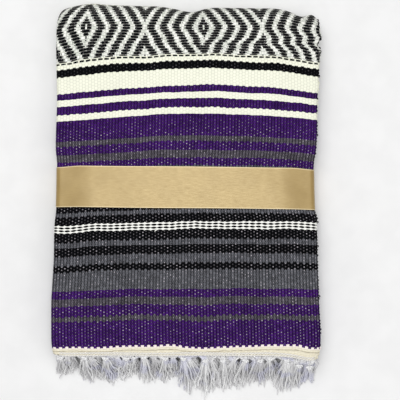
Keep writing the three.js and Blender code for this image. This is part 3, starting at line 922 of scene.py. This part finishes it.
class Weave(Tree):
    """The places on the web: its warp ends, its picks and the beads that the picks show between them."""

    def __init__(self, name):
        super().__init__(name)
        self.u, whole, _ = self.parts(self.attribute("weave"))
        v = self.both(whole, self.sub(WEB, whole))
        self.place = self.vector(self.mul(self.u, END_PITCH), v)
        streaks = self.vector(self.mul(self.u, 0.5), self.mul(v, 0.08))
        self.v = self.add(self.add(v, self.wander(2.2, self.place, 0.045)), self.wander(1.1, streaks))
        self.end = self.floor(self.u)
        self.across = self.sub(self.u, self.end)
        self.half_odd = self.mul(self.math("FLOORED_MODULO", self.end, 2.0), 0.5)
        self.rows = self.add(self.over(self.v, 2 * PICK), self.half_odd)
        bead = self.floor(self.rows)
        self.along = self.sub(self.rows, bead)
        self.bead = self.sub(bead, self.half_odd)
        self.centre = self.mul(self.add(self.bead, 0.5), 2 * PICK)
        self.shown = self.add(self.centre, self.mul(self.sub(self.v, self.centre), 0.45))
        self.fibres = self.noise(self.stretched(2.6, 2.2), 1.0, 3.0, 0.65)
        self.two_ends = self.fract(self.over(self.u, 2.0))
        past = self.sub(self.v, MIRROR_V)
        self.near = self.size(past)
        self.row = self.floor(self.over(past, DIAMOND_ROW))
        self.in_row = self.sub(self.over(past, DIAMOND_ROW), self.row)
        self.in_diamonds = self.less(self.near, DIAMOND_HALF)

    def stretched(self, across, along):
        return self.vector(self.mul(self.u, across), self.mul(self.v, along))


def striped(t):
    """The stripes, each bead of weft taking the colour of its own pick."""
    far = t.size(t.sub(t.shown, MIRROR_V))
    folded = t.both(far, t.sub(2 * TURN_BACK, far))
    return t.steps(t.over(folded, SPAN), [(start / SPAN, c) for start, c in STRIPES])


def heathered(t, colour, green, paleness):
    """Heathered and dyed yarn: each bead differs a little from the next."""
    chance = t.random(t.end, t.bead, 3.0)
    lightness = t.add(t.mul(t.sub(chance, 0.5), 0.35), t.mul(t.sub(t.fibres, 0.5), 0.9))
    lightness = t.add(lightness, t.wander(0.35, t.place, 0.02))
    lightness = t.mul(lightness, t.sub(1.5, t.mul(paleness, 1.35)))
    greyness = t.mul(t.ramped(green, 0.02, 0.05), t.sub(1.0, paleness))
    heather = t.wander(3.6, t.stretched(3.4, 0.8), 1.0, 2.0, 0.7)
    return t.dimmed(colour, t.add(1.0, t.add(lightness, t.mul(heather, greyness))))


def diamond_rings(t):
    """Where rings about each centre are black, told off in rows of weft."""
    dy = t.size(t.mul(t.add(t.row, 0.5), DIAMOND_ROW))
    u = t.add(t.u, t.mul(t.sub(t.fibres, 0.5), 0.5))
    dx = t.math("PINGPONG", t.sub(u, DIAMOND_U), DIAMOND_ENDS / 2)
    stepped = t.over(t.floor(t.add(t.mul(dx, 2.0), 0.5)), 2.0)
    ring = t.add(t.over(t.mul(stepped, END_PITCH), RING_ACROSS), t.over(dy, RING_ALONG))
    off = t.from_middle(t.fract(t.add(t.sub(ring, RING_MIDDLE), 0.5)))
    jitter = t.mul(t.sub(t.random(t.row, t.floor(dx), 7.0), 0.5), 0.07)
    taper = t.mul(t.from_middle(t.in_row), 2.0)
    streak = t.less(t.add(off, jitter), t.sub(RING_HALF, t.mul(t.mul(taper, taper), 0.14)))
    return t.mul(t.mul(streak, t.more(ring, FIRST_RING)), t.in_diamonds)


def diamonds(t, colour):
    """The band of diamonds, and the dashes below it: one pick of black over every other end."""
    frayed = t.noise(t.vector(t.mul(t.u, 1.3), t.mul(t.row, 3.7)), 1.0, 1.0)
    white = t.mix(t.ramped(frayed, 0.35, 0.7), WHITE_SHADE, WHITE)
    colour = t.mix(t.in_diamonds, colour, white)
    dash = t.mul(t.less(t.from_middle(t.two_ends), 0.37), t.between(t.near, *DASHES))
    colour = t.mix(t.either(diamond_rings(t), dash), colour, INK)
    # Painted shadow lines between the rows of weft in the diamonds.
    row_shadow_share = t.mul(t.ramped(t.from_middle(t.in_row), 0.3, 0.5), t.in_diamonds)
    return t.mix(t.mul(row_shadow_share, t.ramped(frayed, 0.3, 0.6, 0.9, 0.4)), colour, PAINTED_ROW_SHADOW)


def bead_rows(t):
    """Three rows of white beads: where they are white, and where the whole line is."""
    from_beads = t.over(t.sub(t.near, BEADS_MIDDLE), BEAD_ROW)
    nearest = t.both(t.either(t.round(from_beads), -1.0), 1.0)
    off_row = t.mul(t.size(t.sub(from_beads, nearest)), BEAD_ROW)
    lens = t.mul(t.from_middle(t.two_ends), 2.0)
    white = t.less(off_row, t.add(0.52, t.mul(t.power(lens, 2.2), 1.15)))
    return white, t.less(t.size(from_beads), 1.6)


def heading(t):
    """The colour of the undyed heading at the end of the web."""
    ripple = t.noise(t.stretched(0.7, 1.6), 1.0, 3.0, 0.6)
    colour = t.mix(t.ramped(ripple, 0.35, 0.7), HEADING_SHADE, HEADING)
    picks = t.ramped(t.sine(t.mul(t.v, 2 * math.pi / PICK)), 0.3, 1.0, 0.0, 0.3)
    colour = t.mix(picks, colour, HEADING_PICK)
    colour = t.mix(t.ramped(t.v, HEADING_V - 3.0, HEADING_V - 0.6), colour, HEADING_RIM)
    # A painted shade line along the groove in the heading's middle.
    in_groove_shade = t.ramped(t.size(t.sub(t.v, GROOVE_SHADE_V)), 0.9, 0.3)
    return t.mix(t.mul(in_groove_shade, t.ramped(ripple, 0.35, 0.6, 0.1, 0.75)), colour, HEADING_GROOVE_SHADE)


def warp_specks(t):
    """How brightly the warp ends peep out between the beads."""
    sx = t.over(t.sub(t.across, 0.5), 0.24)
    sy = t.over(t.both(t.along, t.sub(1.0, t.along)), 0.17)
    near_gap = t.add(t.mul(sx, sx), t.mul(sy, sy))
    chance = t.random(t.end, t.sub(t.round(t.rows), t.half_odd), 9.0)
    bright = t.add(0.13, t.mul(t.power(chance, 2.8), 0.56))
    bright = t.mul(bright, t.ramped(t.near, 98.0, 132.0, 0.3, 1.0))
    return t.mul(t.ramped(near_gap, 1.25, 0.35), bright)


def domes(t):
    """Each bead of weft stands up in its middle."""
    rise_x = t.sub(1.0, t.power(t.size(t.sub(t.mul(t.across, 2.0), 1.0)), 2.2))
    rise_y = t.sub(1.0, t.power(t.size(t.sub(t.mul(t.along, 2.0), 1.0)), 2.4))
    return t.math("SQRT", t.either(t.mul(rise_x, rise_y), 0.0))


def shaded(t, colour, dome, paleness, smooth, speck):
    """Painted shade between the beads, and a faint painted highlight on their tops; less on the pale cloth.
    """
    painted_bead_shade = t.ramped(dome, 0.08, 0.95, 0.12, 1.16)
    painted_bead_shade = t.add(painted_bead_shade, t.mul(t.sub(1.0, painted_bead_shade), t.mul(paleness, 0.8)))
    painted_bead_shade = t.mix(smooth, t.vector(painted_bead_shade, painted_bead_shade, painted_bead_shade), t.vector(1.0, 1.0, 1.0))
    return t.mix(t.sub(1.0, speck), colour, t.mix(1.0, colour, painted_bead_shade, "MULTIPLY"))


def relief(t, dome, paleness, in_beads, white_bead):
    """How high the face stands: beads of weft, and flatter rows in the diamonds."""
    twist = t.noise(t.stretched(4.0, 3.0), 1.0, 2.0, 0.6)
    height = t.add(dome, t.mul(twist, 0.25))
    plain = t.sub(1.0, t.in_diamonds)
    rows = t.mul(t.sine(t.mul(t.in_row, math.pi)), 0.7)
    height = t.add(t.mul(height, plain), t.mul(rows, t.in_diamonds))
    height = t.mul(height, t.sub(1.0, t.mul(t.mul(paleness, plain), 0.55)))
    return t.add(height, t.mul(in_beads, t.mul(white_bead, 0.8)))


def cloth_material():
    t = Weave("serape_weave")
    colour = striped(t)
    green = t.parts(colour)[1]
    paleness = t.ramped(green, 0.3, 0.6)
    colour = diamonds(t, heathered(t, colour, green, paleness))
    white_bead, in_beads = bead_rows(t)
    colour = t.mix(white_bead, colour, WHITE)
    in_heading = t.less(t.mul(t.add(t.centre, t.shown), 0.5), HEADING_V)
    colour = t.mix(in_heading, colour, heading(t))
    speck = warp_specks(t)
    plain = t.mul(t.sub(1.0, in_heading), t.sub(1.0, in_beads))
    colour = t.mix(t.mul(speck, plain), colour, WARP)
    dome = domes(t)
    smooth = t.either(t.either(t.in_diamonds, in_heading), in_beads)
    colour = shaded(t, colour, dome, paleness, smooth, speck)
    height = relief(t, dome, paleness, in_beads, white_bead)
    return t.finish(colour, 0.95, 0.06, t.bump(height, 0.0006, 0.75))


def yarn_material():
    t = Tree("fringe_yarn")
    cosine, sine, length = t.parts(t.attribute("twist"))
    number, kind, _ = t.parts(t.attribute("marks"))
    angle = t.math("ARCTAN2", sine, cosine)
    ply = t.sine(t.add(t.mul(angle, 2.0), t.mul(length, 2.4)))
    place = t.object_place(1 / MM)
    strand = t.random(t.floor(t.mul(number, 7.0)), 2.0, 5.0)
    fuzz = t.noise(place, 1.6, 3.0, 0.7)
    patch = t.noise(place, 0.05, 1.0)
    paler = t.ramped(t.add(t.mul(strand, 0.6), t.mul(fuzz, 0.6)), 0.25, 0.95)
    colour = t.mix(paler, linear(212, 211, 213), linear(254, 254, 254))
    colour = t.mix(t.ramped(patch, 0.52, 0.66, 0.0, 0.5), colour, linear(212, 213, 238))
    knot = t.mix(t.ramped(fuzz, 0.3, 0.7), linear(222, 222, 224), linear(250, 250, 250))
    cord = t.mix(t.ramped(fuzz, 0.3, 0.7), linear(222, 218, 208), linear(252, 250, 246))
    colour = t.mix(t.between(kind, KNOT_YARN - 0.5, KNOT_YARN + 0.5), colour, knot)
    colour = t.mix(t.more(kind, CORD_YARN - 0.5), colour, cord)
    # Painted shade in the grooves of the ply twist, and a faint painted highlight on its ridges.
    colour = t.dimmed(colour, t.ramped(ply, -1.0, 0.3, 0.62, 1.06))
    height = t.add(t.mul(ply, 0.5), t.mul(fuzz, 0.8))
    return t.finish(colour, 0.9, 0.1, t.bump(height, 0.0003, 0.6))


def paper_material():
    t = Tree("kraft_paper")
    place = t.attribute("paper")
    along, across, _ = t.parts(place)
    fibre = t.noise(t.vector(t.mul(along, 0.12), t.mul(across, 0.9)), 1.0, 3.0, 0.6)
    cloud = t.noise(place, 0.05)
    fleck = t.noise(t.vector(t.mul(along, 0.8), t.mul(across, 2.2), 4.0), 1.0, 1.0)
    colour = t.mix(t.ramped(cloud, 0.3, 0.7), linear(146, 121, 73), linear(156, 131, 82))
    colour = t.mix(t.ramped(fibre, 0.35, 0.75, 0.0, 0.45), colour, linear(138, 112, 66))
    colour = t.mix(t.ramped(fleck, 0.68, 0.78, 0.0, 0.35), colour, linear(118, 92, 56))
    # A lighter rim along both long edges: a painted highlight where the paper's edges lift.
    painted_edge_highlight = t.ramped(t.size(across), BAND_WIDTH / 2 - 1.3, BAND_WIDTH / 2 - 0.6, 0.0, 0.85)
    colour = t.mix(painted_edge_highlight, colour, linear(214, 196, 156))
    t.shader.inputs["Specular Tint"].default_value = (1.0, 0.86, 0.56, 1.0)
    height = t.add(fibre, t.mul(cloud, 2.0))
    return t.finish(colour, t.ramped(fibre, 0.3, 0.7, 0.33, 0.4), 1.0, t.bump(height, 0.0002, 0.35))


# ---- Camera, light and floor ----

LENS, SENSOR = 85.0, 36.0
VIEW_WIDTH = 0.480  # across the picture, at the height of the front
PICTURE_X, PICTURE_Y = 0.0162, 0.0004
FLOOR_HALF, FLOOR_GAP = 6.0, 0.0002
# place, how wide it is and its power
LAMPS = {
    "key": ((-0.5, 0.8, 1.9), 0.9, 10),
    "fill": ((0.9, -0.6, 1.7), 1.4, 5),
    "overhead": ((0.0, 0.0, 1.8), 0.8, 14),
}
SKY_STRENGTH = 0.44


def add_camera():
    """Straight above, looking down."""
    data = bpy.data.cameras.new("camera")
    data.lens, data.sensor_width = LENS, SENSOR
    camera = in_scene("camera", data)
    camera.location = (PICTURE_X, PICTURE_Y, STACK * MM + VIEW_WIDTH * LENS / SENSOR)
    bpy.context.scene.camera = camera


def add_light():
    for name, (place, size, power) in LAMPS.items():
        light = bpy.data.lights.new(name, "AREA")
        light.shape, light.size, light.energy = "DISK", size, power
        lamp = in_scene(name, light)
        lamp.location = place
        lamp.rotation_mode = "QUATERNION"
        lamp.rotation_quaternion = (-Vector(place)).to_track_quat("-Z", "Y")
    world = bpy.data.worlds.new("studio")
    world.use_nodes = True
    sky = world.node_tree.nodes["Background"]
    sky.inputs["Color"].default_value = (1, 1, 1, 1)
    sky.inputs["Strength"].default_value = SKY_STRENGTH
    bpy.context.scene.world = world
    bpy.context.scene.view_settings.view_transform = "Standard"


def add_floor():
    mesh = bpy.data.meshes.new("floor")
    corners = [(-1, -1), (1, -1), (1, 1), (-1, 1)]
    mesh.from_pydata([(x * FLOOR_HALF, y * FLOOR_HALF, -FLOOR_GAP) for x, y in corners], [], [(0, 1, 2, 3)])
    t = Tree("floor_paint")
    grain = t.noise(t.object_place(1.0), 30.0)
    colour = t.mix(t.ramped(grain, 0.3, 0.7), (0.806, 0.806, 0.806, 1), (0.836, 0.836, 0.836, 1))
    mesh.materials.append(t.finish(colour, 0.9, 0.5))
    in_scene("floor", mesh)


# ---- The whole ----


def placed(piece, material, slot, *nodes):
    piece.data.materials.append(material)
    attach(piece, "root")
    if nodes:
        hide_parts(*nodes)
    return piece


add_camera()
add_light()
add_floor()
weave, spun, kraft = cloth_material(), yarn_material(), paper_material()
cloth = placed(outer_cloth(), weave, "serape_cloth", "outer_stretch")
layers = placed(folded_layers(), weave, "serape_cloth", "folded_layers")
loops = placed(selvedge_loops(), weave, "serape_cloth")
cords = placed(heading_cords(), spun, "fringe_yarn")
upper = placed(fringe("fringe_of_front_end", 11, 41, 3, 1.0, True), spun, "fringe_yarn", "fringe_upper")
placed(fringe("fringe_of_other_end", 12, 31, 2, 0.86, False), spun, "fringe_yarn", "fringe_lower")
placed(paper_band(), kraft, "kraft_paper", "belly_band")
